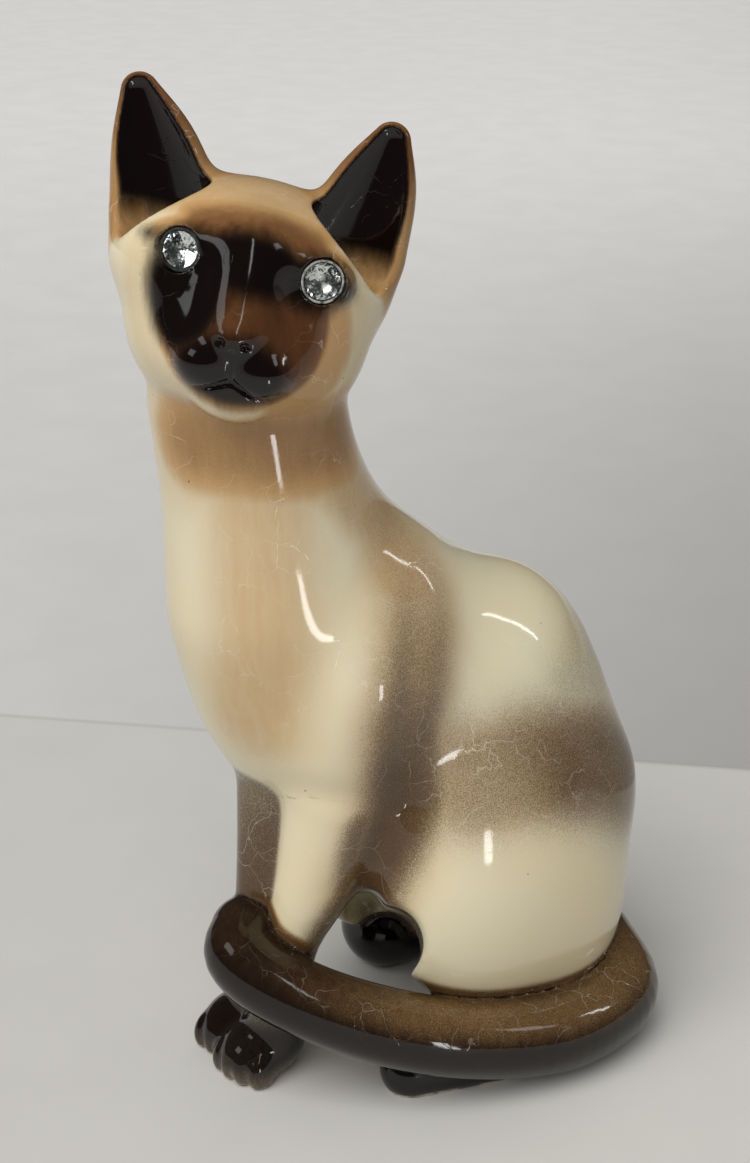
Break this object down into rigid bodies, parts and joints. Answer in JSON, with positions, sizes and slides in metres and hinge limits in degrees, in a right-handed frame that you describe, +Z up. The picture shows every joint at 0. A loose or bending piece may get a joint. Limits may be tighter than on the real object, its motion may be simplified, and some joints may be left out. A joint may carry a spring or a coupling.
{
  "type": "ceramic cat figurine",
  "caption": "Seated glazed ceramic cat with its head turned, its tail laid round its paws, and cut-glass eye stones; it stands on a flat base.",
  "frame": {"origin": "centre of the bounding box in plan, on the plane that the figure stands on", "axes": "+Z up; the cat's hips point towards -Y, and its chest and face turn towards +X, its own left"},
  "size_m": [0.0981, 0.1259, 0.2541],
  "materials": {
    "cream_glaze": "gloss crackle",
    "tan_glaze": "gloss airbrushed",
    "seal_brown_glaze": "high gloss",
    "cut_glass": "faceted",
    "mirror_foil": "bright"
  },
  "bodies": {
    "root": {"torso": "cream_glaze", "head": "tan_glaze", "ear_left": "seal_brown_glaze", "ear_right": "seal_brown_glaze", "foreleg_left": "cream_glaze", "foreleg_right": "tan_glaze", "hind_foot_left": "seal_brown_glaze", "hind_foot_right": "seal_brown_glaze", "tail": "seal_brown_glaze", "eye_stone_left": "cut_glass", "eye_stone_right": "cut_glass", "eye_foil_left": "mirror_foil", "eye_foil_right": "mirror_foil"}
  },
  "joints": []
}
